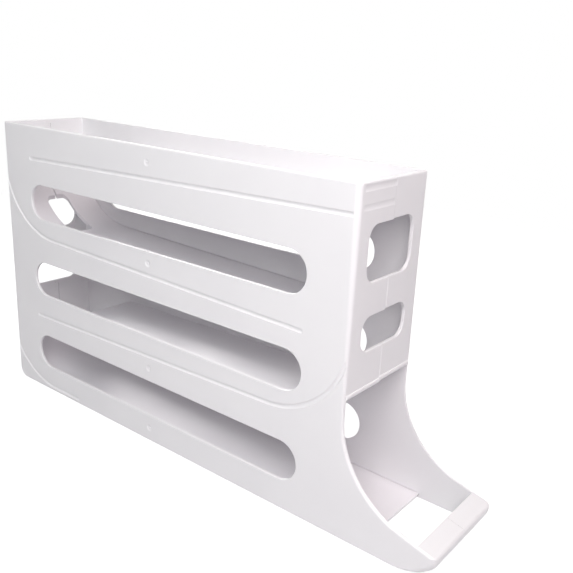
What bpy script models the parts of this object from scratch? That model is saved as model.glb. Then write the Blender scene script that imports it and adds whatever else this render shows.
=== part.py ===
# Rolling egg dispenser: two half shells snapped together round four sloping ramps.
# Metres, +Z up, +X towards the mouth where the eggs come out.
# The origin is on the floor, under the middle of the whole object.

import math
from collections import namedtuple

import bmesh
import bpy

# Tower, foot and walls
BODY_LENGTH = 0.305
FOOT_LENGTH = 0.0615
WIDTH = 0.068
WALL = 0.0022
CORNER_RADIUS = 0.003
HEEL_RADIUS = 0.008
HEEL_LEDGE = 0.0022
MOUTH_HEIGHT = 0.083
FLARE_RADIUS = 0.052

# Fits and cuts
FIT_GAP = 0.0003
OVERRUN = 0.001

# Lip in front of the tray
LIP_HEIGHT = 0.0156
LIP_SLOPE = math.radians(14.6)
LIP_DEPTH = 0.0115
LIP_EDGE = 0.0009
NOSE_LENGTH = 0.026
NOSE_UNDERSIDE = 0.014
TRAY_GAP = 0.033

# Bead along the lower edge of the front wall
BEAD_HEIGHT = 0.003
BEAD_REACH = 0.0006
BEAD_DROP = 0.0004

# Long slots in both side panels, and the band above the highest
SLOT_COUNT = 3
SLOT_MARGIN = 0.029
SLOT_HEIGHT = 0.025
LOWEST_SLOT_MIDDLE = 0.0316
SLOT_PITCH = 0.0568
TOP_BAND = 0.0528

# Windows across the seam: sill and height as shares of the wall, low one first
WINDOW_MARGIN = 0.0118
WINDOW_CORNER_RADIUS = 0.008
FRONT_WINDOW_SHARES = ((0.206, 0.178), (0.545, 0.258))
BACK_WINDOW_SHARES = ((0.362, 0.124), (0.581, 0.144))

# Ramps: how far each floor lies below the rim or its slot's middle, half way along the tower
RAMP_THICKNESS = 0.002
RAMP_SLOPE = math.radians(1.45)
BOTTOM_SLOPE = math.radians(0.57)
TOP_FLOOR_DROP = 0.0196
UPPER_FLOOR_DROP = 0.028
LOWER_FLOOR_DROP = 0.0263
BOTTOM_FLOOR_DROP = 0.0269
DROP_GAP = 0.052
CATCH_RADIUS = 0.055
CATCH_ANGLE = math.radians(60.3)
SEAT_DEPTH_SHARE = 0.45

# Opening in the middle of each catch, with a slit up to the wall
CUTOUT_WIDTH = 0.018
CUTOUT_SETBACK = 0.007
CUTOUT_LENGTH = 0.034
CUTOUT_CORNER_RADIUS = 0.004
SLIT_WIDTH = 0.001

# Grooves on the outer faces that trace the way of the eggs
TRACE_WIDTH = 0.0014
TRACE_DEPTH_SHARE = 0.23
LOWEST_TRACE_HEIGHT = 0.0012
LOWEST_TRACE_FADE = 0.030

# Moulding gates on the outer faces
GATE_RADIUS = 0.0018
GATE_DEPTH_SHARE = 0.18

# Lap tongues and snap pegs at the seam
TONGUE_REACH = 0.003
TONGUE_ROOT = 0.0015
TONGUE_RELIEF = 0.0001
TONGUE_MARGIN = 0.003
PEG_RADIUS = 0.0011
PEG_LENGTH = 0.005
BOSS_RADIUS = 0.0022
BOSS_LENGTH = 0.006
BOSS_SINK = 0.0004
LOW_BACK_PEG_HEIGHT = 0.012
LIP_PEG_SETBACK = 0.0065
LIP_PEG_HEIGHT = 0.008

# Colours of the white plastic, linear RGB
SHELL_COLOUR = (0.80, 0.79, 0.82, 1.0)
RAMP_COLOUR = (0.76, 0.74, 0.77, 1.0)
PLASTIC_ROUGHNESS = 0.35

# Facets of round shapes
ARC_STEPS = 10
SLOT_STEPS = 14
SMALL_STEPS = 6
ROUND_SIDES = 16
SMOOTH_ANGLE = math.radians(35)

BACK = -(BODY_LENGTH + FOOT_LENGTH) / 2
FRONT = BACK + BODY_LENGTH
TIP = FRONT + FOOT_LENGTH
OUTER = WIDTH / 2
TOP_SLOT_MIDDLE = LOWEST_SLOT_MIDDLE + (SLOT_COUNT - 1) * SLOT_PITCH
HEIGHT = TOP_SLOT_MIDDLE + TOP_BAND
CATCH_REACH = WALL + FIT_GAP + (CATCH_RADIUS + RAMP_THICKNESS) * math.sin(CATCH_ANGLE)
SEAT_DEPTH = WALL * SEAT_DEPTH_SHARE
TRACE_DEPTH = WALL * TRACE_DEPTH_SHARE
GATE_DEPTH = WALL * GATE_DEPTH_SHARE

Ramp = namedtuple("Ramp", "name middle_height slope reach has_catch at_front")


def clear_scene():
    for item in list(bpy.data.objects):
        bpy.data.objects.remove(item, do_unlink=True)


def moulded_plastic(name, colour):
    material = bpy.data.materials.new(name)
    material.use_nodes = True
    shader = material.node_tree.nodes["Principled BSDF"]
    shader.inputs["Base Color"].default_value = colour
    shader.inputs["Roughness"].default_value = PLASTIC_ROUGHNESS
    shader.inputs["Metallic"].default_value = 0.0
    material.diffuse_color = colour
    return material


# Outlines, as lists of (across, up) points

def arc(centre, radii, start, end, steps):
    points = []
    for step in range(steps + 1):
        angle = start + (end - start) * step / steps
        across = centre[0] + radii[0] * math.cos(angle)
        up = centre[1] + radii[1] * math.sin(angle)
        points.append((across, up))
    return points


def fillet(before, corner, after, radius, steps):
    """Arc that rounds a corner and touches both straight sides."""
    to_before = unit(before, corner)
    to_after = unit(after, corner)
    half = math.acos(to_before[0] * to_after[0] + to_before[1] * to_after[1]) / 2
    middle = unit((to_before[0] + to_after[0], to_before[1] + to_after[1]), (0, 0))
    away = radius / math.sin(half)
    centre = (corner[0] + middle[0] * away, corner[1] + middle[1] * away)
    touch = radius / math.tan(half)
    first = (corner[0] + to_before[0] * touch, corner[1] + to_before[1] * touch)
    start = math.atan2(first[1] - centre[1], first[0] - centre[0])
    turn = math.pi - 2 * half
    side = to_before[0] * to_after[1] - to_before[1] * to_after[0]
    return arc(centre, (radius, radius), start, start + math.copysign(turn, -side), steps)


def unit(point, origin):
    across = point[0] - origin[0]
    up = point[1] - origin[1]
    length = math.hypot(across, up)
    return (across / length, up / length)


def rounded_box(left, right, low, high, radius, steps):
    corners = [(left, low), (right, low), (right, high), (left, high)]
    points = []
    for index, corner in enumerate(corners):
        points += fillet(corners[index - 1], corner, corners[(index + 1) % 4], radius, steps)
    return points


# Solids. What is drawn for the near side is mirrored in Y for the far side.

def solid(name, vertices, faces, far=False):
    if far:
        vertices = [(x, -y, z) for x, y, z in vertices]
    mesh = bpy.data.meshes.new(name)
    mesh.from_pydata(vertices, [], faces)
    work = bmesh.new()
    work.from_mesh(mesh)
    bmesh.ops.recalc_face_normals(work, faces=work.faces)
    work.to_mesh(mesh)
    work.free()
    mesh.shade_smooth()
    mesh.set_sharp_from_angle(angle=SMOOTH_ANGLE)
    piece = bpy.data.objects.new(name, mesh)
    bpy.context.scene.collection.objects.link(piece)
    return piece


def placed(depth, point, axis):
    """A point of an outline at a depth along the axis that it is extruded on."""
    across, up = point
    return {"X": (depth, across, up), "Y": (across, depth, up), "Z": (across, up, depth)}[axis]


def prisms(name, outlines, start, end, axis, far=False):
    """Extrude each closed outline from start to end along the axis."""
    vertices = []
    faces = []
    for outline in outlines:
        base = len(vertices)
        count = len(outline)
        for depth in (start, end):
            vertices += [placed(depth, point, axis) for point in outline]
        faces.append([base + index for index in range(count)])
        faces.append([base + count + index for index in range(count)])
        for index in range(count):
            after = (index + 1) % count
            faces.append([base + index, base + after, base + count + after, base + count + index])
    return solid(name, vertices, faces, far)


def boxes(name, corners):
    """Separate boxes, each from its lowest to its highest corner."""
    vertices = []
    faces = []
    for low, high in corners:
        base = len(vertices)
        for x in (low[0], high[0]):
            for y in (low[1], high[1]):
                for z in (low[2], high[2]):
                    vertices.append((x, y, z))
        for face in ((0, 1, 3, 2), (4, 6, 7, 5), (0, 4, 5, 1), (2, 3, 7, 6), (0, 2, 6, 4), (1, 5, 7, 3)):
            faces.append([base + index for index in face])
    return solid(name, vertices, faces)


def cut(target, cutter):
    combine(target, cutter, "DIFFERENCE")


def add(target, extra):
    combine(target, extra, "UNION")


def combine(target, other, operation):
    modifier = target.modifiers.new(other.name, "BOOLEAN")
    modifier.operation = operation
    modifier.solver = "EXACT"
    modifier.object = other
    other.hide_render = True
    other.display_type = "WIRE"


# Side view of the shell

def lip_height(across):
    return LIP_HEIGHT + (TIP - across) * math.tan(LIP_SLOPE)


def nose_curve(inset, end):
    """Part of an ellipse from the tip down and back to the end, or the same moved in by the wall."""
    centre = (TIP - NOSE_LENGTH, LIP_HEIGHT - LIP_EDGE)
    radii = (NOSE_LENGTH - inset, centre[1] - inset)
    angle = math.acos((end - centre[0]) / radii[0])
    return arc(centre, radii, 0, -angle, ARC_STEPS)


def side_outline():
    """Tower, concave flare, lip, rounded nose and rounded heel, clockwise from the top back."""
    flare_corner = (FRONT, lip_height(FRONT))
    points = [(BACK, HEIGHT), (FRONT, HEIGHT)]
    points += fillet((FRONT, HEIGHT), flare_corner, (TIP, LIP_HEIGHT), FLARE_RADIUS, ARC_STEPS)
    points.append((TIP - LIP_EDGE, lip_height(TIP - LIP_EDGE)))
    points += nose_curve(0, TIP - NOSE_LENGTH)
    points += fillet((TIP - NOSE_LENGTH, 0), (BACK, 0), (BACK, HEIGHT), HEEL_RADIUS, SMALL_STEPS)
    return points


def cavity_outline():
    """Space between the walls: open at the top, under the body, at the mouth and in the tray."""
    heel_centre = (BACK + HEEL_RADIUS, HEEL_RADIUS)
    heel_inside = HEEL_RADIUS - WALL
    heel_end = heel_centre[0] + HEEL_LEDGE
    lip_back = TIP - LIP_DEPTH
    under_lip = TIP - WALL - LIP_EDGE
    nose_end = TIP - NOSE_UNDERSIDE
    points = [(heel_end, -OVERRUN), (heel_end, WALL)]
    points += arc(heel_centre, (heel_inside, heel_inside), -math.pi / 2, -math.pi, SMALL_STEPS)
    points += [
        (BACK + WALL, HEIGHT + OVERRUN),
        (FRONT - WALL, HEIGHT + OVERRUN),
        (FRONT - WALL, MOUTH_HEIGHT),
        (TIP + OVERRUN, MOUTH_HEIGHT),
        (TIP + OVERRUN, LIP_HEIGHT + OVERRUN),
        (lip_back, lip_height(lip_back) + OVERRUN),
        (lip_back, lip_height(lip_back) - WALL),
        (under_lip, lip_height(under_lip) - WALL),
    ]
    points += nose_curve(WALL, nose_end)
    points.append((nose_end, -OVERRUN))
    return points


def bead_outline():
    """Half-round bead on the outer face, rooted in the wall and hanging a little below it."""
    root = FRONT - WALL / 2
    bottom = MOUTH_HEIGHT - BEAD_DROP
    half = BEAD_HEIGHT / 2
    quarter = math.pi / 2
    outline = arc((FRONT, bottom + half), (BEAD_REACH, half), -quarter, quarter, SMALL_STEPS)
    return outline + [(root, bottom + BEAD_HEIGHT), (root, bottom)]


def corner_cut(name, place, side, bottom, top, far):
    """What lies outside the rounded upright corner, seen from above, on the near side."""
    inward = place + side * CORNER_RADIUS
    outside = place - side * OVERRUN
    edge = -OUTER
    round_part = arc(
        (inward, edge + CORNER_RADIUS),
        (-side * CORNER_RADIUS, CORNER_RADIUS),
        0,
        -math.pi / 2,
        SMALL_STEPS,
    )
    outline = [(outside, edge - OVERRUN), (outside, edge + CORNER_RADIUS)]
    outline += round_part
    outline.append((inward, edge - OVERRUN))
    return prisms(name, [outline], bottom, top, "Z", far)


# Ramps and what follows them. Each is drawn from the wall where its floor is highest.

def ramp_rows():
    reach = BODY_LENGTH - WALL - DROP_GAP
    tray_end = BODY_LENGTH + FOOT_LENGTH - LIP_DEPTH - TRAY_GAP
    upper = TOP_SLOT_MIDDLE - UPPER_FLOOR_DROP
    lower = TOP_SLOT_MIDDLE - SLOT_PITCH - LOWER_FLOOR_DROP
    bottom = LOWEST_SLOT_MIDDLE - BOTTOM_FLOOR_DROP
    return (
        Ramp("ramp_1_top", HEIGHT - TOP_FLOOR_DROP, RAMP_SLOPE, reach, False, True),
        Ramp("ramp_2_upper", upper, RAMP_SLOPE, reach, True, False),
        Ramp("ramp_3_lower", lower, RAMP_SLOPE, reach, True, True),
        Ramp("ramp_4_bottom", bottom, BOTTOM_SLOPE, tray_end, True, False),
    )


def from_wall(points, at_front):
    """Turn distances from the wall's outer face into places along X."""
    if at_front:
        return [(FRONT - across, up) for across, up in points]
    return [(BACK + across, up) for across, up in points]


def floor_point(ramp, across, below):
    """Point of the floor at a distance from the wall, moved square to the floor by a depth below it."""
    up = ramp.middle_height + (BODY_LENGTH / 2 - across) * math.tan(ramp.slope)
    return (across - below * math.sin(ramp.slope), up - below * math.cos(ramp.slope))


def catch_arc(ramp, below, wall_side):
    """Arc from the wall down to the floor, at a depth below the upper face of the catch."""
    centre = floor_point(ramp, CATCH_REACH, -CATCH_RADIUS)
    radius = CATCH_RADIUS + below
    sweep = math.asin((centre[0] - wall_side) / (CATCH_RADIUS + RAMP_THICKNESS)) - ramp.slope
    lowest = -math.pi / 2 - ramp.slope
    return arc(centre, (radius, radius), lowest - sweep, lowest, ARC_STEPS)


def ramp_outline(ramp, clearance):
    """Side view of a ramp with a rounded free end, or of the groove that it sits in."""
    wall_side = WALL + FIT_GAP - clearance / 2
    half = RAMP_THICKNESS / 2
    end_centre = floor_point(ramp, ramp.reach - half, half)
    quarter = math.pi / 2
    nose = half + clearance
    free_end = arc(end_centre, (nose, nose), quarter - ramp.slope, -quarter - ramp.slope, SMALL_STEPS)
    if ramp.has_catch:
        upper = catch_arc(ramp, -clearance, wall_side)
        lower = catch_arc(ramp, RAMP_THICKNESS + clearance, wall_side)
    else:
        upper = [floor_point(ramp, wall_side, -clearance)]
        lower = [floor_point(ramp, wall_side, RAMP_THICKNESS + clearance)]
    return from_wall(upper + free_end + lower[::-1], ramp.at_front)


def ramp_outlines(clearance):
    return [ramp_outline(ramp, clearance) for ramp in ramp_rows()]


def keyhole_outline(at_front):
    """Opening in a catch, seen from above: a rounded hole and its slit to the wall."""
    half_slit = SLIT_WIDTH / 2
    half_hole = CUTOUT_WIDTH / 2
    wall_end = WALL + CUTOUT_SETBACK
    floor_end = wall_end + CUTOUT_LENGTH
    radius = CUTOUT_CORNER_RADIUS
    near_side = [(wall_end, -half_hole), (floor_end, -half_hole)]
    far_side = [(floor_end, half_hole), (wall_end, half_hole)]
    corners = [(wall_end, 0)] + near_side + far_side + [(wall_end, 0)]
    points = [(0, -half_slit), (wall_end, -half_slit)]
    for before, corner, after in zip(corners, corners[1:], corners[2:]):
        points += fillet(before, corner, after, radius, SMALL_STEPS)
    points += [(wall_end, half_slit), (0, half_slit)]
    return from_wall(points, at_front)


def make_ramp(ramp):
    half_width = OUTER - WALL + SEAT_DEPTH - FIT_GAP
    piece = prisms(ramp.name, [ramp_outline(ramp, 0)], -half_width, half_width, "Y")
    if ramp.has_catch:
        low = ramp.middle_height - CATCH_RADIUS
        high = ramp.middle_height + CATCH_RADIUS
        cut(piece, prisms(ramp.name + "_keyhole", [keyhole_outline(ramp.at_front)], low, high, "Z"))
    piece.data.materials.append(moulded_plastic(ramp.name + "_plastic", RAMP_COLOUR))


# Grooves that trace the ramps on the outer face

def trace_paths():
    """Ways of the eggs as the outer faces show them, each from an edge to the line of the slots' ends."""
    top, upper, lower, bottom = ramp_rows()
    slots_end = BODY_LENGTH - SLOT_MARGIN
    paths = [from_wall([floor_point(top, CORNER_RADIUS, 0), floor_point(top, slots_end, 0)], True)]
    for ramp in (upper, lower):
        path = catch_arc(ramp, 0, -OVERRUN)
        path.append(floor_point(ramp, slots_end, 0))
        paths.append(from_wall(path, ramp.at_front))
    level = bottom._replace(middle_height=LOWEST_TRACE_HEIGHT, slope=0)
    path = catch_arc(level, 0, -OVERRUN)
    path.append((CATCH_REACH + LOWEST_TRACE_FADE, -OVERRUN))
    paths.append(from_wall(path, False))
    return paths


def trace_cutter(name, far):
    """Three-sided channel swept along each path on the near outer face."""
    spread = (TRACE_DEPTH + OVERRUN) / TRACE_DEPTH * TRACE_WIDTH / 2
    vertices = []
    faces = []
    for path in trace_paths():
        base = len(vertices)
        last = len(path) - 1
        for index, (across, up) in enumerate(path):
            along = unit(path[min(index + 1, last)], path[max(index - 1, 0)])
            vertices.append((across, -OUTER + TRACE_DEPTH, up))
            vertices.append((across - along[1] * spread, -OUTER - OVERRUN, up + along[0] * spread))
            vertices.append((across + along[1] * spread, -OUTER - OVERRUN, up - along[0] * spread))
        for index in range(last):
            here = base + index * 3
            for side in range(3):
                other = (side + 1) % 3
                faces.append([here + side, here + other, here + 3 + other, here + 3 + side])
        faces.append([base, base + 1, base + 2])
        faces.append([base + last * 3, base + last * 3 + 2, base + last * 3 + 1])
    return solid(name, vertices, faces, far)


# Cuts and joints of a half shell, drawn for the near side

def slot_outlines():
    radius = SLOT_HEIGHT / 2
    quarter = math.pi / 2
    left = BACK + SLOT_MARGIN + radius
    right = FRONT - SLOT_MARGIN - radius
    outlines = []
    for index in range(SLOT_COUNT):
        middle = LOWEST_SLOT_MIDDLE + index * SLOT_PITCH
        outline = arc((left, middle), (radius, radius), quarter, 3 * quarter, SLOT_STEPS)
        outline += arc((right, middle), (radius, radius), -quarter, quarter, SLOT_STEPS)
        outlines.append(outline)
    return outlines


def windows(lowest, shares):
    """Sill and top of each window in a wall that starts at the lowest height."""
    tall = HEIGHT - lowest
    return [(lowest + tall * sill, lowest + tall * (sill + height)) for sill, height in shares]


def front_windows():
    return windows(MOUTH_HEIGHT, FRONT_WINDOW_SHARES)


def back_windows():
    return windows(0, BACK_WINDOW_SHARES)


def window_outlines(openings):
    half = OUTER - WINDOW_MARGIN
    radius = WINDOW_CORNER_RADIUS
    return [rounded_box(-half, half, sill, top, radius, SMALL_STEPS) for sill, top in openings]


def gate_outlines():
    """Small rings in the plain bands, half way along the tower."""
    top, upper, lower, bottom = ramp_rows()
    half_slot = SLOT_HEIGHT / 2
    middle = (BACK + FRONT) / 2
    bands = (
        (top.middle_height, HEIGHT),
        (upper.middle_height, TOP_SLOT_MIDDLE - half_slot),
        (LOWEST_SLOT_MIDDLE + half_slot, lower.middle_height),
        (0, LOWEST_SLOT_MIDDLE - half_slot),
    )
    return [ring((middle, (low + high) / 2), GATE_RADIUS) for low, high in bands]


def ring(centre, radius):
    return arc(centre, (radius, radius), 0, 2 * math.pi, ROUND_SIDES)[:-1]


def solid_spans(lowest, openings):
    """Stretches of a wall along the seam, from its lowest point up, between its windows."""
    spans = []
    for sill, top in openings:
        spans.append((lowest + TONGUE_MARGIN, sill - TONGUE_MARGIN))
        lowest = top
    spans.append((lowest + TONGUE_MARGIN, HEIGHT - TONGUE_MARGIN))
    return spans


def lap_boxes(slack):
    """Inner laps on the walls at the seam: tongues with no slack, and their recesses with it."""
    lap = WALL / 2 - FIT_GAP / 2 - TONGUE_RELIEF
    corners = []
    for low, high in solid_spans(MOUTH_HEIGHT, front_windows()):
        inner = FRONT - WALL + TONGUE_RELIEF
        corners.append((
            (inner - slack, -TONGUE_ROOT, low - slack),
            (inner + lap + slack, TONGUE_REACH + slack, high + slack),
        ))
    for low, high in solid_spans(HEEL_RADIUS, back_windows()):
        inner = BACK + WALL - TONGUE_RELIEF
        corners.append((
            (inner - lap - slack, -TONGUE_ROOT, low - slack),
            (inner + slack, TONGUE_REACH + slack, high + slack),
        ))
    return corners


def peg_places():
    """Middles of the snap pegs: under the top ramp, between and under the back windows, in the nose."""
    off_wall = WALL + BOSS_RADIUS - BOSS_SINK
    top_ramp = ramp_rows()[0]
    under_top_ramp = floor_point(top_ramp, off_wall, RAMP_THICKNESS)[1] - BOSS_RADIUS - FIT_GAP
    low_window, high_window = back_windows()
    between_windows = (low_window[1] + high_window[0]) / 2
    return (
        (FRONT - off_wall, under_top_ramp),
        (BACK + off_wall, between_windows),
        (BACK + off_wall, LOW_BACK_PEG_HEIGHT),
        (TIP - LIP_PEG_SETBACK, LIP_PEG_HEIGHT),
    )


def rods(name, radius, start, end):
    return prisms(name, [ring(place, radius) for place in peg_places()], start, end, "Y")


def half_shell(name, far):
    """Solid side view, rounded at the upright corners, hollowed and cut open."""
    shell = prisms(name, [side_outline()], -OUTER, -FIT_GAP / 2, "Y", far)
    face = -OUTER
    inner_face = WALL - OUTER
    top = HEIGHT + OVERRUN
    cut(shell, corner_cut(name + "_front_corner", FRONT, -1, MOUTH_HEIGHT, top, far))
    cut(shell, corner_cut(name + "_back_corner", BACK, 1, -OVERRUN, top, far))
    cut(shell, prisms(name + "_cavity", [cavity_outline()], inner_face, OVERRUN, "Y", far))
    cut(shell, prisms(name + "_slots", slot_outlines(), face - OVERRUN, inner_face + OVERRUN, "Y", far))
    for wall, openings, start in (
        ("front", front_windows(), FRONT - WALL - OVERRUN),
        ("back", back_windows(), BACK - OVERRUN),
    ):
        end = start + WALL + 2 * OVERRUN
        cut(shell, prisms(f"{name}_{wall}_windows", window_outlines(openings), start, end, "X", far))
    add(shell, prisms(name + "_bead", [bead_outline()], face + CORNER_RADIUS, -FIT_GAP / 2, "Y", far))
    seat_depth = inner_face - SEAT_DEPTH
    cut(shell, prisms(name + "_seats", ramp_outlines(FIT_GAP), seat_depth, inner_face + OVERRUN, "Y", far))
    cut(shell, prisms(name + "_gates", gate_outlines(), face - OVERRUN, face + GATE_DEPTH, "Y", far))
    cut(shell, trace_cutter(name + "_traces", far))
    shell.data.materials.append(moulded_plastic(name + "_plastic", SHELL_COLOUR))
    return shell


def make_near_shell():
    """The half with the tongues and the pegs."""
    shell = half_shell("near_half_shell", False)
    add(shell, boxes("tongues", lap_boxes(0)))
    add(shell, rods("peg_bosses", BOSS_RADIUS, -BOSS_LENGTH, -FIT_GAP / 2))
    add(shell, rods("pegs", PEG_RADIUS, -BOSS_LENGTH / 2, PEG_LENGTH))


def make_far_shell():
    """The half with the recesses and the sockets."""
    shell = half_shell("far_half_shell", True)
    add(shell, rods("socket_bosses", BOSS_RADIUS, FIT_GAP / 2, BOSS_LENGTH))
    cut(shell, boxes("tongue_recesses", lap_boxes(FIT_GAP)))
    cut(shell, rods("socket_bores", PEG_RADIUS + FIT_GAP, -OVERRUN, PEG_LENGTH + FIT_GAP))


def main():
    clear_scene()
    make_near_shell()
    make_far_shell()
    for ramp in ramp_rows():
        make_ramp(ramp)


main()
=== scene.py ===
# Rolling egg dispenser: two white half shells snapped together round four sloping ramps.
# Everything is in metres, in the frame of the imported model: +X towards the tray, near side at -Y.

import math

import bmesh
import bpy
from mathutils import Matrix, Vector


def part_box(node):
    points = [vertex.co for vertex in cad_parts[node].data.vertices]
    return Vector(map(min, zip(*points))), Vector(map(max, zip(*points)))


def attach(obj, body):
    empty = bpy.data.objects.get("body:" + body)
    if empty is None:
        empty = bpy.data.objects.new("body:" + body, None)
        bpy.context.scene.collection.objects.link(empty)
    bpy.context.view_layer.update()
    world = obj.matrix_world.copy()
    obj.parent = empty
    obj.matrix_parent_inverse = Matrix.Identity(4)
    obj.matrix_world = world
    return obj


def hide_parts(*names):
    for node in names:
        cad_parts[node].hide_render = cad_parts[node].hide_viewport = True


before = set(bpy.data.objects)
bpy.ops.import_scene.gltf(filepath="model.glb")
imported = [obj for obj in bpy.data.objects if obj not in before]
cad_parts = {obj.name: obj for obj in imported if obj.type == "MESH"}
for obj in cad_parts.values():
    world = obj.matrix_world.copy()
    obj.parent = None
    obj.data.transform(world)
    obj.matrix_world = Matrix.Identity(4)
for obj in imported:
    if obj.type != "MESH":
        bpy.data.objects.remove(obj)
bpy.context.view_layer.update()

mm = 0.001
# How near counts as touching, what is merged or flattened, and from which angle an edge is sharp.
meshRule = {
    "touch": 0.02 * mm, "reach": mm / 10, "merge": mm / 100, "mergeTurned": mm / 1000,
    "flat": math.radians(0.05), "sharp": math.radians(35), "alongAxis": 0.9,
}
shellLow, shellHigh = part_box("near_half_shell")
back, tip = shellLow.x, shellHigh.x
outer, top = -shellLow.y, shellHigh.z
print("frame loaded")


# Helpers for modelling

def pick(piece):
    # only this piece selected, in object mode
    if bpy.context.object and bpy.context.object.mode == "EDIT":
        bpy.ops.object.mode_set(mode="OBJECT")
    bpy.ops.object.select_all(action="DESELECT")
    if piece:
        piece.select_set(True)
        bpy.context.view_layer.objects.active = piece


def openMesh(piece, kind="EDGE"):
    pick(piece)
    bpy.ops.object.mode_set(mode="EDIT")
    bpy.ops.mesh.select_mode(type=kind)
    bpy.ops.mesh.select_all(action="DESELECT")


def closeMesh():
    bpy.ops.object.mode_set(mode="OBJECT")


def choose(piece, kind, wanted, along=None):
    # select what has all its corners where they are wanted, and edges that run along an axis
    mesh = bmesh.from_edit_mesh(piece.data)
    bpy.ops.mesh.select_all(action="DESELECT")
    parts = {"VERT": mesh.verts, "EDGE": mesh.edges, "FACE": mesh.faces}[kind]
    for part in parts:
        corners = [part.co] if kind == "VERT" else [vert.co for vert in part.verts]
        if not all(wanted(corner) for corner in corners):
            continue
        if along is not None:
            way = (corners[1] - corners[0]).normalized()
            if abs(way["XYZ".index(along)]) < meshRule["alongAxis"]:
                continue
        part.select_set(True)
    bmesh.update_edit_mesh(piece.data)


def near(value, place):
    return abs(value - place) < meshRule["touch"]


def placeInMesh(piece):
    pick(piece)
    bpy.ops.object.transform_apply(location=True, rotation=True, scale=True)
    return piece


def block(name, low, high):
    # a cube set to its lowest and highest corner
    pick(None)
    bpy.ops.mesh.primitive_cube_add(size=1, location=(Vector(low) + Vector(high)) / 2)
    piece = bpy.context.object
    piece.name = name
    piece.scale = Vector(high) - Vector(low)
    return placeInMesh(piece)


def rod(name, radius, start, end, place, sides=32):
    # a round bar from one Y to another, at place = (x, z)
    pick(None)
    middle = (place[0], (start + end) / 2, place[1])
    bpy.ops.mesh.primitive_cylinder_add(vertices=sides, radius=radius, depth=end - start, location=middle,
                                        rotation=(math.pi / 2, 0, 0))
    piece = bpy.context.object
    piece.name = name
    return placeInMesh(piece)


def finishWith(piece, name, kind, **values):
    # a modifier with its values, applied
    pick(piece)
    modifier = piece.modifiers.new(name, kind)
    for key, value in values.items():
        setattr(modifier, key, value)
    bpy.ops.object.modifier_apply(modifier=name)


def cleanMesh(piece, flatten=False):
    # close what a cut leaves a hair apart and, before edges are rounded, join the faces of each flat side
    openMesh(piece, "VERT")
    bpy.ops.mesh.select_all(action="SELECT")
    bpy.ops.mesh.remove_doubles(threshold=meshRule["merge"])
    if flatten:
        bpy.ops.mesh.dissolve_limited(angle_limit=meshRule["flat"])
    bpy.ops.mesh.dissolve_degenerate(threshold=meshRule["merge"])
    closeMesh()


def combine(piece, other, operation):
    finishWith(piece, operation.lower(), "BOOLEAN", operation=operation, solver="EXACT", object=other)
    bpy.data.objects.remove(other, do_unlink=True)
    cleanMesh(piece)


def cut(piece, other):
    combine(piece, other, "DIFFERENCE")


def add(piece, other):
    combine(piece, other, "UNION")


def roundByRadius(piece, radiusOf, segments):
    # round every edge by a radius of its own, given as its share of the largest
    mesh = bmesh.new()
    mesh.from_mesh(piece.data)
    layers = mesh.edges.layers.float
    weight = layers.get("bevel_weight_edge") or layers.new("bevel_weight_edge")
    radii = [radiusOf(edge, *[vert.co for vert in edge.verts]) for edge in mesh.edges]
    largest = max(radii)
    for edge, radius in zip(mesh.edges, radii):
        edge[weight] = radius / largest
    mesh.to_mesh(piece.data)
    mesh.free()
    finishWith(piece, "softEdges", "BEVEL", width=largest, segments=segments, limit_method="WEIGHT",
               use_clamp_overlap=False, loop_slide=False)


def roundEdges(piece, wanted, offset, segments, along=None):
    openMesh(piece)
    choose(piece, "EDGE", wanted, along)
    bpy.ops.mesh.bevel(offset=offset, offset_type="OFFSET", segments=segments, profile=0.5,
                       affect="EDGES", clamp_overlap=False)
    closeMesh()


def moveCorners(piece, wanted, step):
    openMesh(piece, "VERT")
    choose(piece, "VERT", wanted)
    bpy.ops.transform.translate(value=step)
    closeMesh()


def stretchCorners(piece, wanted, factors, fixed):
    openMesh(piece, "VERT")
    choose(piece, "VERT", wanted)
    bpy.ops.transform.resize(value=factors, center_override=fixed)
    closeMesh()


# Sizes of the half shells, which the ramps are fitted to

shellSize = {
    "wall": 2.2 * mm, "bodyLength": 305 * mm, "seamGap": 0.12 * mm, "fitGap": 0.3 * mm, "overrun": 1 * mm,
    "cornerRadius": 1.6 * mm, "cornerAtTop": 3.5 * mm, "cornerAtNose": 4 * mm, "cornerAtFoot": 0.95 * mm,
    "noseWidening": 2.4, "lipEdge": 1.5 * mm, "rimRound": 1.1 * mm, "edgeRound": 0.4 * mm,
    "heelRadius": 8 * mm, "heelLedge": 2.2 * mm,
    "mouthHeight": 83 * mm, "flareRadius": 52 * mm,
    "lipHeight": 15.6 * mm, "lipSlope": math.radians(14.6), "lipDepth": 11.5 * mm, "lipMargin": 0.5 * mm,
    "noseLength": 26 * mm, "noseHeight": 13.2 * mm, "noseLedge": 14 * mm, "noseInside": 11 * mm,
    "cornerSteps": 6, "flareSteps": 30, "noseSteps": 18, "insideSteps": 14, "heelSteps": 10,
    "outlineSteps": 6, "rimSteps": 4, "edgeSteps": 3,
}
front = back + shellSize["bodyLength"]
halfTower = shellSize["bodyLength"] / 2


# Ramps. Each is drawn from the wall where its floor is highest, and pitched from half way along the tower.

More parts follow.
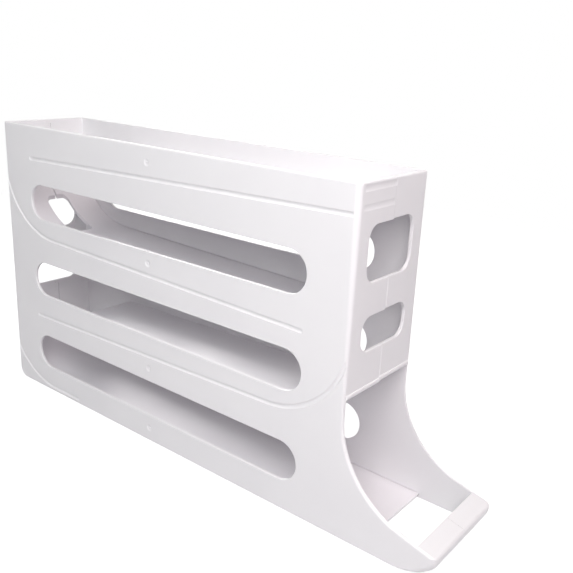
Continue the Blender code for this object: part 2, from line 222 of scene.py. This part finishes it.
rampSize = {
    "thickness": 2 * mm, "seatDepth": 0.99 * mm, "edgeRound": 0.25 * mm, "edgeSteps": 2,
    "endShare": 0.97, "endSteps": 6, "catchRadius": 55 * mm, "catchSweep": math.radians(74), "arcSteps": 28,
    "holeWidth": 18 * mm, "holeStart": 9.2 * mm, "holeEnd": 43.2 * mm, "holeCorner": 4 * mm, "holeSteps": 8,
    "slitWidth": 1 * mm,
}
towerRamp = {"slope": math.radians(1.45), "catchReach": 52.01 * mm, "reach": 250.8 * mm,
             "hasCatch": True, "hasHole": True}
rampRows = {
    "topRamp": {**towerRamp, "node": "ramp_1_top", "height": 178.4 * mm, "atFront": True,
                "hasCatch": False, "hasHole": False},
    "upperRamp": {**towerRamp, "node": "ramp_2_upper", "height": 117.2 * mm, "atFront": False},
    "lowerRamp": {**towerRamp, "node": "ramp_3_lower", "height": 62.1 * mm, "atFront": True},
    "bottomRamp": {"node": "ramp_4_bottom", "height": 4.7 * mm, "atFront": False,
                   "slope": math.radians(0.57), "catchReach": 52.01 * mm, "reach": 322 * mm,
                   "hasCatch": True, "hasHole": False},
}


def fromWall(row, u):
    # a distance from the high wall as a place along X
    return front - u if row["atFront"] else back + u


def floorHeight(row, u):
    return row["height"] + (halfTower - u) * math.tan(row["slope"])


def alongFloor(row, u):
    return (u - halfTower) / math.cos(row["slope"])


def catchCentre(row):
    # middle of the arc that carries the floor up to the wall
    r, slope = rampSize, row["slope"]
    u = row["catchReach"] + r["catchRadius"] * math.sin(slope)
    return u, floorHeight(row, row["catchReach"]) + r["catchRadius"] * math.cos(slope)


def layOnFloor(piece, row):
    # from flat at the origin, with its high end at -X, to its slope and place
    piece.rotation_euler = (0, row["slope"], 0)
    placeInMesh(piece)
    if row["atFront"]:
        piece.rotation_euler = (0, 0, math.pi)
        placeInMesh(piece)
    piece.location = (fromWall(row, halfTower), 0, row["height"])
    placeInMesh(piece)


def atCatch(row, corner):
    # whether a corner lies on the cut across the floor where the catch starts
    beyond = abs(corner.x - fromWall(row, 0)) - row["catchReach"]
    rise = corner.z - floorHeight(row, row["catchReach"])
    return abs(beyond * math.cos(row["slope"]) - rise * math.sin(row["slope"])) < meshRule["reach"]


def spinUp(piece, row, sweep):
    # carry the high end round the catch's middle, up towards the wall
    u, z = catchCentre(row)
    openMesh(piece, "FACE")
    choose(piece, "FACE", lambda c: atCatch(row, c))
    bpy.ops.mesh.spin(steps=rampSize["arcSteps"], angle=sweep, center=(fromWall(row, u), 0, z),
                      axis=(0, 1, 0) if row["atFront"] else (0, -1, 0))
    bpy.ops.mesh.select_all(action="SELECT")
    bpy.ops.mesh.remove_doubles(threshold=meshRule["mergeTurned"])
    bpy.ops.mesh.normals_make_consistent(inside=False)
    closeMesh()


def rampForm(name, row, clearance, low, high):
    # a ramp with a rounded free end or, with a clearance, the seat that it lies in
    r, s = rampSize, shellSize
    wallSide = s["wall"] + s["fitGap"] - clearance / 2
    start = row["catchReach"] if row["hasCatch"] else wallSide
    end = alongFloor(row, row["reach"]) + clearance
    form = block(name, (alongFloor(row, start), low, -r["thickness"] - clearance), (end, high, clearance))
    endRound = (r["thickness"] / 2 + clearance) * r["endShare"]
    roundEdges(form, lambda c: near(c.x, end), endRound, r["endSteps"], "Y")
    layOnFloor(form, row)
    if row["hasCatch"]:
        reach = catchCentre(row)[0] - wallSide
        spinUp(form, row, math.asin(reach / (r["catchRadius"] + r["thickness"])) - row["slope"])
    return form


def keyhole(row):
    # rounded opening in a catch, with its slit to the wall
    r, over = rampSize, shellSize["overrun"]
    low, high = row["height"] - r["catchRadius"], row["height"] + r["catchRadius"]
    ends = sorted((fromWall(row, r["holeStart"]), fromWall(row, r["holeEnd"])))
    half = r["holeWidth"] / 2
    hole = block("keyhole", (ends[0], -half, low), (ends[1], half, high))
    roundEdges(hole, lambda c: True, r["holeCorner"], r["holeSteps"], "Z")
    ends = sorted((fromWall(row, 0), fromWall(row, r["holeStart"] + over)))
    half = r["slitWidth"] / 2
    add(hole, block("slit", (ends[0], -half, low - over), (ends[1], half, high + over)))
    return hole


def smoothShade(piece):
    # round edges shade as round, flat faces stay flat
    pick(piece)
    bpy.ops.object.shade_smooth_by_angle(angle=meshRule["sharp"])
    finishWith(piece, "evenNormals", "WEIGHTED_NORMAL", keep_sharp=True)


def makeRamp(name, row):
    r = rampSize
    half = outer - shellSize["wall"] + r["seatDepth"] - shellSize["fitGap"]
    piece = rampForm(name, row, 0, -half, half)
    if row["hasHole"]:
        cut(piece, keyhole(row))
    finishWith(piece, "softEdges", "BEVEL", width=r["edgeRound"], segments=r["edgeSteps"],
               limit_method="ANGLE", angle_limit=meshRule["sharp"], use_clamp_overlap=False, loop_slide=False)
    smoothShade(piece)
    return piece


ramps = {name: makeRamp(name + "Moulding", row) for name, row in rampRows.items()}
print("ramps made")


# Half shells. Both are modelled on the near side, up to the seam, and the far one is mirrored near its end.

openingSize = {
    "slotEnds": (-154.25 * mm, 92.75 * mm), "slotHalfHeight": 12.5 * mm,
    "slotMiddles": (31.6 * mm, 88.4 * mm, 145.2 * mm), "slotShare": 0.999, "slotSteps": 16,
    "windowHalfWidth": 22.2 * mm, "windowCorner": 8 * mm, "windowSteps": 12,
    "frontWindows": ((105.6 * mm, 125.7 * mm), (144.4 * mm, 175.35 * mm)),
    "backWindows": ((71.68 * mm, 96.23 * mm), (115.04 * mm, 143.55 * mm)),
}


def lipTop(x):
    return shellSize["lipHeight"] + (tip - x) * math.tan(shellSize["lipSlope"])


def outsideForm(inner):
    # tower, foot and flare as one solid
    s = shellSize
    corner = lipTop(front)
    form = block("outside", (back, -outer, 0), (front, inner, top))
    openMesh(form, "FACE")
    bpy.ops.mesh.select_all(action="SELECT")
    bpy.ops.mesh.bisect(plane_co=(0, 0, corner), plane_no=(0, 0, 1))
    choose(form, "FACE", lambda c: near(c.x, front) and c.z < corner + s["overrun"])
    bpy.ops.mesh.extrude_region_move(TRANSFORM_OT_translate={"value": (tip - front, 0, 0)})
    closeMesh()
    moveCorners(form, lambda c: near(c.x, tip) and near(c.z, corner), (0, 0, s["lipHeight"] - corner))
    # the concave flare touches both its sides at this distance from their corner
    touch = s["flareRadius"] / math.tan((math.pi / 2 + s["lipSlope"]) / 2)
    roundEdges(form, lambda c: near(c.x, front) and near(c.z, corner), touch, s["flareSteps"])
    noseHeight, reach = s["noseHeight"], meshRule["reach"]
    roundEdges(form, lambda c: near(c.x, tip) and near(c.z, 0), noseHeight, s["noseSteps"])
    stretchCorners(form, lambda c: c.z < noseHeight - reach and c.x > tip - noseHeight - reach,
                   (s["noseLength"] / noseHeight, 1, 1), (tip, 0, 0))
    roundEdges(form, lambda c: near(c.x, back) and near(c.z, 0), s["heelRadius"], s["heelSteps"])
    cleanMesh(form, True)
    openMesh(form)
    for step in range(s["cornerSteps"]):
        bpy.ops.mesh.select_all(action="SELECT")
        level = between(s["mouthHeight"], top, step / s["cornerSteps"])
        bpy.ops.mesh.bisect(plane_co=(0, 0, level), plane_no=(0, 0, 1))
    closeMesh()
    roundByRadius(form, outlineRadius, s["outlineSteps"])
    roundByRadius(form, rimRadius, s["rimSteps"])
    return form


def between(low, high, share):
    return low + (high - low) * min(max(share, 0), 1)


def outlineRadius(edge, start, end):
    # rounding of the side panel's outline: softest at the top of the upright corner and round the nose
    s = shellSize
    middle = (start + end) / 2
    if near(start.x, tip) and near(end.x, tip) and near(middle.z, lipTop(tip)):
        return s["lipEdge"]
    onSide = near(start.y, -outer) and near(end.y, -outer)
    onRim = near(start.z, top) and near(end.z, top)
    if not onSide or onRim or edge.calc_face_angle() < s["lipSlope"]:
        return 0
    if near(start.x, front) and near(end.x, front):
        rise = (middle.z - s["mouthHeight"]) / (top - s["mouthHeight"])
        return between(s["cornerRadius"], s["cornerAtTop"], rise)
    if middle.x > tip - s["noseLength"] and middle.z < lipTop(tip) - s["lipMargin"]:
        return between(s["cornerAtFoot"], s["cornerAtNose"], s["noseWidening"] * middle.z / s["noseHeight"])
    if middle.z < s["heelRadius"]:
        return between(s["cornerAtFoot"], s["cornerRadius"], middle.z / s["heelRadius"])
    return s["cornerRadius"]


def rimRadius(edge, start, end):
    # the top rim is rounded over to its outside
    seam = -shellSize["seamGap"] / 2
    onRim = near(start.z, top) and near(end.z, top)
    return shellSize["rimRound"] if onRim and not (near(start.y, seam) and near(end.y, seam)) else 0


def edgeRadius(edge, start, end):
    # small rounding of every sharp edge, but for those at the seam
    seam = -shellSize["seamGap"] / 2
    atSeam = near(start.y, seam) and near(end.y, seam)
    return shellSize["edgeRound"] if edge.calc_face_angle() > meshRule["sharp"] and not atSeam else 0


def towerSpace(inner):
    # what the walls of the tower enclose, open at the top and, past the heel's ledge, below
    s = shellSize
    low = s["wall"]
    ledgeEnd = back + s["heelRadius"] + s["heelLedge"]
    form = block("towerSpace", (back + low, low - outer, low), (front - low, inner, top + s["overrun"]))
    roundEdges(form, lambda c: near(c.x, back + low) and near(c.z, low),
               s["heelRadius"] - low, s["heelSteps"])
    openMesh(form, "FACE")
    bpy.ops.mesh.select_all(action="SELECT")
    bpy.ops.mesh.bisect(plane_co=(ledgeEnd, 0, 0), plane_no=(1, 0, 0))
    choose(form, "FACE", lambda c: near(c.z, low) and c.x > ledgeEnd - meshRule["reach"])
    bpy.ops.mesh.extrude_region_move(TRANSFORM_OT_translate={"value": (0, 0, -low - s["overrun"])})
    closeMesh()
    return form


def traySpace(inner):
    # mouth and tray, as far as the turned-in edge of the nose and, higher up, the back of the lip
    s = shellSize
    face, ledge = s["wall"] - outer, tip - s["noseLedge"]
    form = block("traySpace", (front - s["wall"] - s["overrun"], face, -s["overrun"]),
                 (ledge, inner, s["mouthHeight"]))
    openMesh(form, "FACE")
    bpy.ops.mesh.select_all(action="SELECT")
    bpy.ops.mesh.bisect(plane_co=(0, 0, s["noseInside"]), plane_no=(0, 0, 1))
    choose(form, "FACE", lambda c: near(c.x, ledge) and c.z > s["noseInside"] - meshRule["reach"])
    bpy.ops.mesh.extrude_region_move(TRANSFORM_OT_translate={"value": (s["noseLedge"] - s["lipDepth"], 0, 0)})
    closeMesh()
    return form


def noseSpace(inner):
    # hollow under the lip, with the turned-in lower edge of the nose
    s = shellSize
    wall, inside, over, reach = s["wall"], s["noseInside"], s["overrun"], meshRule["reach"]
    start, end = tip - s["noseLength"] - over, tip - wall
    form = block("noseSpace", (start, wall - outer, wall), (end, inner, lipTop(end) - wall))
    moveCorners(form, lambda c: near(c.x, start) and c.z > 2 * wall, (0, 0, lipTop(start) - lipTop(end)))
    roundEdges(form, lambda c: near(c.x, end) and near(c.z, wall), inside, s["insideSteps"])
    stretchCorners(form, lambda c: c.z < wall + inside - reach and c.x > end - inside - reach,
                   ((s["noseLength"] - wall) / inside, 1, 1), (end, 0, 0))
    cut(form, block("openTray", (start - over, -outer, 0),
                    (tip - s["noseLedge"] - over / 2, inner + over, top)))
    return form


def slotCutter(middle):
    # long slot with round ends through the side panel
    o = openingSize
    half, over = o["slotHalfHeight"], shellSize["overrun"]
    low = (o["slotEnds"][0], -outer - over, middle - half)
    form = block("slot", low, (o["slotEnds"][1], shellSize["wall"] - outer + over, middle + half))
    roundEdges(form, lambda c: True, half * o["slotShare"], o["slotSteps"], "Y")
    return form


def windowCutter(wallX, sill, head, inner):
    # rounded window through an end wall, across the seam
    o, over = openingSize, shellSize["overrun"]
    low = (wallX - over, -o["windowHalfWidth"], sill)
    form = block("window", low, (wallX + shellSize["wall"] + over, inner, head))
    roundEdges(form, lambda c: c.y < 0, o["windowCorner"], o["windowSteps"], "X")
    return form


detailSize = {
    "beadHeight": 3 * mm, "beadReach": 0.6 * mm, "beadDrop": 0.4 * mm, "beadSink": 0.15 * mm,
    "beadSides": 40, "beadSteps": 3,
    "traceWidth": 2.9 * mm, "traceDepth": 0.65 * mm, "traceStart": 3 * mm, "traceEnd": 276 * mm,
    "traceSides": 64, "traceShare": 0.9, "traceSteps": 8,
    "gateWidth": 5 * mm, "gateDepth": 0.7 * mm, "gateSides": 40, "gateRings": 80,
    "gateStub": 0.5 * mm, "stubSides": 20, "stubSteps": 3,
    "gateHeights": (9.55 * mm, 53.1 * mm, 124.95 * mm, 188.2 * mm),
    "sinkHeights": (185 * mm, 194.8 * mm), "sinkWidth": 3.6 * mm, "sinkDepth": 0.25 * mm, "sinkSides": 96,
    "pegs": ((117.75 * mm, 177.66 * mm), (-179.25 * mm, 105.6 * mm), (-179.25 * mm, 12 * mm),
             (176.75 * mm, 8 * mm)),
    "pegRadius": 1.1 * mm, "pegReach": 5 * mm, "bossRadius": 2.2 * mm, "bossLength": 6 * mm,
    "tongueReach": 3 * mm, "tongueRoot": 1.5 * mm, "tongueMargin": 3 * mm, "tongueRelief": 0.1 * mm,
}
# The halves don't quite match at the seam. Each bevel has a width and a depth, and runs below or above the
# middle of the upper window.
halves = {
    "nearShell": {"node": "near_half_shell", "windowRise": 0, "beadRise": 0, "sinkMarks": True,
                  "hasPegs": True, "bevels": {"low": (0.15 * mm, 0.4 * mm)}},
    "farShell": {"node": "far_half_shell", "windowRise": 0.6 * mm, "beadRise": 0.7 * mm, "sinkMarks": False,
                 "hasPegs": False, "bevels": {"low": (0.65 * mm, 0.65 * mm), "high": (0.3 * mm, 0.2 * mm)}},
}


def bead(half):
    # half-round bead along the foot of the front wall
    d = detailSize
    middle = shellSize["mouthHeight"] - d["beadDrop"] + d["beadHeight"] / 2 + half["beadRise"]
    start = shellSize["cornerRadius"] - outer + d["beadSink"]
    form = rod("bead", d["beadHeight"] / 2, start, -shellSize["seamGap"] / 2, (front - d["beadSink"], middle),
               d["beadSides"])
    roundEdges(form, lambda c: near(c.y, start), d["beadReach"] / 2, d["beadSteps"])
    flat = (d["beadReach"] + d["beadSink"]) / (d["beadHeight"] / 2)
    stretchCorners(form, lambda c: True, (flat, 1, 1), (front - d["beadSink"], 0, 0))
    return form


# The lowest trace comes down its catch and ends a little above the foot.
traceRows = [{**rampRows[name], "traceEnd": detailSize["traceEnd"]}
             for name in ("topRamp", "upperRamp", "lowerRamp")]
traceRows.append({"atFront": False, "hasCatch": True, "slope": 0, "height": 3.9 * mm,
                  "catchReach": 46 * mm, "traceEnd": 76 * mm})


def troughRadius(width, depth):
    # radius of the round bar or ball that leaves a hollow this wide and deep
    return ((width / 2) ** 2 + depth ** 2) / (2 * depth)


def traceCutter(row):
    # round bar that dips into the side panel, along the ramp's floor and up its catch
    d = detailSize
    radius = troughRadius(d["traceWidth"], d["traceDepth"])
    start = alongFloor(row, row["catchReach"] if row["hasCatch"] else d["traceStart"])
    end = alongFloor(row, row["traceEnd"])
    pick(None)
    bpy.ops.mesh.primitive_cylinder_add(vertices=d["traceSides"], radius=radius, depth=end - start,
                                        location=((start + end) / 2, 0, 0), rotation=(0, math.pi / 2, 0))
    form = placeInMesh(bpy.context.object)
    form.name = "trace"
    roundEdges(form, lambda c: near(c.x, end), radius * d["traceShare"], d["traceSteps"])
    layOnFloor(form, row)
    form.location.y = d["traceDepth"] - radius - outer
    placeInMesh(form)
    if row["hasCatch"]:
        spinUp(form, row, rampSize["catchSweep"] - row["slope"])
    return form


def gateCutter(height):
    # shallow dish at the gate, with the stub of the sprue left standing in it
    d = detailSize
    place = (back + halfTower, height)
    floor = d["gateDepth"] - outer
    radius = troughRadius(d["gateWidth"], d["gateDepth"])
    pick(None)
    bpy.ops.mesh.primitive_uv_sphere_add(segments=d["gateSides"], ring_count=d["gateRings"], radius=radius,
                                         rotation=(math.pi / 2, 0, 0),
                                         location=(place[0], floor - radius, place[1]))
    form = placeInMesh(bpy.context.object)
    form.name = "gate"
    openMesh(form, "FACE")
    bpy.ops.mesh.select_all(action="SELECT")
    bpy.ops.mesh.bisect(plane_co=(0, -outer - d["gateDepth"], 0), plane_no=(0, 1, 0),
                        use_fill=True, clear_inner=True)
    closeMesh()
    stubTop = floor - d["gateDepth"] / 2
    stub = rod("stub", d["gateStub"], stubTop, floor + shellSize["overrun"], place, d["stubSides"])
    roundEdges(stub, lambda c: near(c.y, stubTop), d["gateStub"] / 3, d["stubSteps"])
    cut(form, stub)
    return form


def sinkCutter(height, inner):
    # very shallow trough left where the plastic shrank over a rib
    d, s = detailSize, shellSize
    radius = troughRadius(d["sinkWidth"], d["sinkDepth"])
    place = (front + radius - d["sinkDepth"], height)
    return rod("sink", radius, s["cornerAtTop"] - outer + s["overrun"], inner, place, d["sinkSides"])


def seamBevels(half):
    # slanting edges along the front seam, which catch the light
    s = shellSize
    bend = sum(openingSize["frontWindows"][1]) / 2
    spans = {"low": (s["mouthHeight"] - s["overrun"], bend), "high": (bend, top + s["overrun"])}
    forms = []
    for span, (width, depth) in half["bevels"].items():
        low, high = spans[span]
        pick(None)
        bpy.ops.mesh.primitive_cube_add(size=math.sqrt(2), rotation=(0, 0, math.pi / 4))
        form = placeInMesh(bpy.context.object)
        form.name = "seamBevel"
        form.scale = (depth, width, (high - low) / math.sqrt(2))
        form.location = (front, -s["seamGap"] / 2, (low + high) / 2)
        forms.append(placeInMesh(form))
    return forms


def tongueSpans(lowest, windows):
    # stretches of an end wall between its windows, along the seam
    margin = detailSize["tongueMargin"]
    starts = [lowest] + [head for sill, head in windows]
    ends = [sill for sill, head in windows] + [top]
    return [(start + margin, end - margin) for start, end in zip(starts, ends)]


def laps(slack):
    # inner laps at the seam: tongues, or their recesses when given some slack
    d, s, o = detailSize, shellSize, openingSize
    lap = s["wall"] / 2 - s["seamGap"] / 2 - d["tongueRelief"]
    rows = []
    for inside, way, spans in (
        (front - s["wall"] + d["tongueRelief"], 1, tongueSpans(s["mouthHeight"], o["frontWindows"])),
        (back + s["wall"] - d["tongueRelief"], -1, tongueSpans(s["heelRadius"], o["backWindows"])),
    ):
        sides = sorted((inside - way * slack, inside + way * (lap + slack)))
        for low, high in spans:
            rows.append(block("lap", (sides[0], -d["tongueRoot"], low - slack),
                              (sides[1], d["tongueReach"] + slack, high + slack)))
    return rows


def makeHalf(name, half):
    # the walls and their openings, then grooves and marks, then what joins the half to the other one
    s, o, d = shellSize, openingSize, detailSize
    seam, past = -s["seamGap"] / 2, s["overrun"]
    piece = outsideForm(seam)
    piece.name = name
    for space in (towerSpace, traySpace, noseSpace):
        cut(piece, space(past))
    for middle in o["slotMiddles"]:
        cut(piece, slotCutter(middle))
    for sill, head in o["frontWindows"]:
        cut(piece, windowCutter(front - s["wall"], sill, head + half["windowRise"], past))
    for sill, head in o["backWindows"]:
        cut(piece, windowCutter(back, sill, head + half["windowRise"], past))
    cleanMesh(piece, True)
    roundByRadius(piece, edgeRadius, s["edgeSteps"])
    cleanMesh(piece)
    for form in seamBevels(half):
        cut(piece, form)
    add(piece, bead(half))
    print(name, "walls and openings")
    for row in rampRows.values():
        cut(piece, rampForm("seat", row, s["fitGap"], s["wall"] - outer - rampSize["seatDepth"],
                            s["wall"] - outer + s["overrun"]))
    for height in d["gateHeights"]:
        cut(piece, gateCutter(height))
    for row in traceRows:
        cut(piece, traceCutter(row))
    if half["sinkMarks"]:
        for height in d["sinkHeights"]:
            cut(piece, sinkCutter(height, past))
    for place in d["pegs"]:
        add(piece, rod("boss", d["bossRadius"], -d["bossLength"], seam, place))
    if half["hasPegs"]:
        for place in d["pegs"]:
            add(piece, rod("peg", d["pegRadius"], -d["bossLength"] / 2, d["pegReach"], place))
        for tongue in laps(0):
            add(piece, tongue)
    else:
        piece.scale.y = -1
        placeInMesh(piece)
        openMesh(piece)
        bpy.ops.mesh.select_all(action="SELECT")
        bpy.ops.mesh.normals_make_consistent(inside=False)
        closeMesh()
        for place in d["pegs"]:
            cut(piece, rod("socket", d["pegRadius"] + s["fitGap"], -past, d["pegReach"] + s["fitGap"], place))
        for recess in laps(s["fitGap"]):
            cut(piece, recess)
    smoothShade(piece)
    print(name, "finished with", len(piece.data.polygons), "faces")
    return piece


shells = {name: makeHalf(name + "Moulding", half) for name, half in halves.items()}


# Materials

def linear(hexColour):
    # sRGB hex to linear RGBA
    parts = [int(hexColour[i:i + 2], 16) / 255 for i in (1, 3, 5)]
    return (*[p / 12.92 if p <= 0.04045 else ((p + 0.055) / 1.055) ** 2.4 for p in parts], 1)


def addNode(tree, kind, settings=None, **links):
    # a node with its settings, its values and its links, by input name or as i and the input's number
    node = tree.nodes.new(kind)
    for key, value in (settings or {}).items():
        setattr(node, key, value)
    for key, value in links.items():
        byNumber = key[0] == "i" and key[1:].isdigit()
        socket = node.inputs[int(key[1:]) if byNumber else key.replace("_", " ")]
        if isinstance(value, bpy.types.NodeSocket):
            tree.links.new(value, socket)
        else:
            socket.default_value = value
    return node


plastic = {
    "shells": {"colour": "#F0EFF1", "shade": "#EAE9EC", "roughness": (0.30, 0.40)},
    # the ramps' colour and shade are a little darker and more lilac than the shells': painted shade for the
    # inside of the tower
    "ramps": {"colour": "#EDEBEE", "shade": "#E7E4E9", "roughness": (0.34, 0.44)},
    "ior": 1.49, "cloudSize": 45 * mm, "cloudDetail": 2.0, "cloudRange": (0.3, 0.7),
    "waveSize": 22 * mm, "waveDetail": 1.0, "waveHeight": 0.05 * mm,
    # the grain is drawn coarser than the mould's real finish, so that it shows
    "grainSize": 0.6 * mm, "grainDetail": 2.0, "grainHeight": 0.004 * mm,
}


def mouldedPolypropylene(name, values):
    # Polypropylene, injection moulded: a satin gloss that breaks up softly over the slightly uneven skin
    p = plastic
    material = bpy.data.materials.new(name)
    material.use_nodes = True
    tree = material.node_tree
    shader = tree.nodes["Principled BSDF"]
    shader.inputs["IOR"].default_value = p["ior"]
    shader.inputs["Metallic"].default_value = 0
    place = addNode(tree, "ShaderNodeTexCoord").outputs["Object"]
    cloud = addNode(tree, "ShaderNodeTexNoise", Vector=place, Scale=1 / p["cloudSize"],
                    Detail=p["cloudDetail"])
    tint = addNode(tree, "ShaderNodeMix", {"data_type": "RGBA"}, i0=cloud.outputs["Fac"],
                   i6=linear(values["colour"]), i7=linear(values["shade"]))
    tree.links.new(tint.outputs[2], shader.inputs["Base Color"])
    start, end = p["cloudRange"]
    low, high = values["roughness"]
    gloss = addNode(tree, "ShaderNodeMapRange", Value=cloud.outputs["Fac"], From_Min=start, From_Max=end,
                    To_Min=low, To_Max=high)
    tree.links.new(gloss.outputs[0], shader.inputs["Roughness"])
    wave = addNode(tree, "ShaderNodeTexNoise", Vector=place, Scale=1 / p["waveSize"], Detail=p["waveDetail"])
    grain = addNode(tree, "ShaderNodeTexNoise", Vector=place, Scale=1 / p["grainSize"],
                    Detail=p["grainDetail"])
    waveBump = addNode(tree, "ShaderNodeBump", Height=wave.outputs["Fac"], Distance=p["waveHeight"],
                       Strength=1.0)
    grainBump = addNode(tree, "ShaderNodeBump", Height=grain.outputs["Fac"], Distance=p["grainHeight"],
                        Strength=1.0, Normal=waveBump.outputs[0])
    tree.links.new(grainBump.outputs[0], shader.inputs["Normal"])
    return material


def dress(piece, material):
    piece.data.materials.clear()
    piece.data.materials.append(material)


shellPlastic = mouldedPolypropylene("polypropyleneMouldedShell", plastic["shells"])
# the ramps' plastic carries painted shade: a darker, lilac copy of the shell plastic
rampPlasticPaintedShade = mouldedPolypropylene("polypropyleneMouldedRampPaintedShade", plastic["ramps"])
for name, piece in shells.items():
    dress(piece, shellPlastic)
    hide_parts(halves[name]["node"])
    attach(piece, "root")
for name, piece in ramps.items():
    dress(piece, rampPlasticPaintedShade)
    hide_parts(rampRows[name]["node"])
    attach(piece, "root")
print("pieces dressed")


# Camera, light, floor and background

cameraSetting = {
    "place": (308.44 * mm, -329.04 * mm, 257.07 * mm),
    "turn": (72.057, -2.718, 38.628),
    "lens": 46.21, "sensor": 36, "clipStart": 10 * mm,
}
pick(None)
bpy.ops.object.camera_add(location=cameraSetting["place"],
                          rotation=[math.radians(angle) for angle in cameraSetting["turn"]])
camera = bpy.context.object
camera.name = "photoCamera"
camera.data.lens = cameraSetting["lens"]
camera.data.sensor_width = cameraSetting["sensor"]
camera.data.clip_start = cameraSetting["clipStart"]
bpy.context.scene.camera = camera

lamps = {
    "top": {"place": (0.34, -0.10, 1.00), "size": 0.7, "power": 2.9, "colour": "#FFF4EF"},
    "front": {"place": (0.36, -0.375, 0.494), "size": 0.45, "power": 2.55, "colour": "#FFFBFA"},
    "side": {"place": (0.05, -0.55, 0.55), "size": 0.45, "power": 1.05, "colour": "#F2FFFC"},
    "low": {"place": (0.90, -0.45, 0.30), "size": 0.6, "power": 0.45, "colour": "#FFD8F4"},
    "back": {"place": (-0.60, 0.60, 0.20), "size": 0.4, "power": 2.9, "colour": "#FFFBFC"},
}
lampAim = Vector((0, 0, 0.09))
for name, lamp in lamps.items():
    bpy.ops.object.light_add(type="AREA", location=lamp["place"])
    light = bpy.context.object
    light.name = name + "Lamp"
    light.data.shape = "DISK"
    light.data.size = lamp["size"]
    light.data.energy = lamp["power"]
    light.data.color = linear(lamp["colour"])[:3]
    light.rotation_euler = (lampAim - light.location).to_track_quat("-Z", "Y").to_euler()

stageSetting = {
    "world": "#F5F2F5", "worldStrength": 0.26,
    "floorSize": 12, "floorDrop": 0.2 * mm, "floorColour": "#BDBDBF", "floorRoughness": 0.9,
    "lift": 0.78, "fadeStart": 0.35, "fadeEnd": 0.9,
}


def seenDirectly(tree):
    # 1 for camera, glossy and transmission rays
    path = addNode(tree, "ShaderNodeLightPath")
    first = addNode(tree, "ShaderNodeMath", {"operation": "MAXIMUM"}, i0=path.outputs["Is Camera Ray"],
                    i1=path.outputs["Is Glossy Ray"])
    return addNode(tree, "ShaderNodeMath", {"operation": "MAXIMUM"}, i0=first.outputs[0],
                   i1=path.outputs["Is Transmission Ray"]).outputs[0]


def whitePaper():
    # Matt white sweep: it shows the soft shadow near the object and runs out to pure white
    material = bpy.data.materials.new("paperSweepMatt")
    material.use_nodes = True
    tree = material.node_tree
    shader = tree.nodes["Principled BSDF"]
    shader.inputs["Base Color"].default_value = linear(stageSetting["floorColour"])
    shader.inputs["Roughness"].default_value = stageSetting["floorRoughness"]
    seen = seenDirectly(tree)
    glow = addNode(tree, "ShaderNodeMath", {"operation": "MULTIPLY"}, i0=seen, i1=stageSetting["lift"])
    lift = addNode(tree, "ShaderNodeEmission", Color=(1, 1, 1, 1), Strength=glow.outputs[0])
    lit = addNode(tree, "ShaderNodeAddShader", i0=shader.outputs[0], i1=lift.outputs[0])
    white = addNode(tree, "ShaderNodeEmission", Color=(1, 1, 1, 1), Strength=1.0)
    place = addNode(tree, "ShaderNodeTexCoord").outputs["Object"]
    away = addNode(tree, "ShaderNodeVectorMath", {"operation": "LENGTH"}, i0=place)
    fade = addNode(tree, "ShaderNodeMapRange", {"interpolation_type": "SMOOTHSTEP"},
                   Value=away.outputs["Value"],
                   From_Min=stageSetting["fadeStart"], From_Max=stageSetting["fadeEnd"])
    share = addNode(tree, "ShaderNodeMath", {"operation": "MULTIPLY"}, i0=fade.outputs[0], i1=seen)
    mix = addNode(tree, "ShaderNodeMixShader", i0=share.outputs[0], i1=lit.outputs[0], i2=white.outputs[0])
    tree.links.new(mix.outputs[0], tree.nodes["Material Output"].inputs["Surface"])
    return material


bpy.ops.mesh.primitive_plane_add(size=stageSetting["floorSize"], location=(0, 0, -stageSetting["floorDrop"]))
sweep = bpy.context.object
sweep.name = "paperSweep"
dress(sweep, whitePaper())

world = bpy.data.worlds.new("studio")
bpy.context.scene.world = world
world.use_nodes = True
tree = world.node_tree
background = tree.nodes["Background"]
seen = seenDirectly(tree)
colour = addNode(tree, "ShaderNodeMix", {"data_type": "RGBA"}, i0=seen, i6=linear(stageSetting["world"]),
                 i7=(1, 1, 1, 1))
strength = addNode(tree, "ShaderNodeMapRange", Value=seen, To_Min=stageSetting["worldStrength"], To_Max=1.0)
tree.links.new(colour.outputs[2], background.inputs["Color"])
tree.links.new(strength.outputs[0], background.inputs["Strength"])
bpy.context.scene.view_settings.view_transform = "Standard"
print("camera and light set")
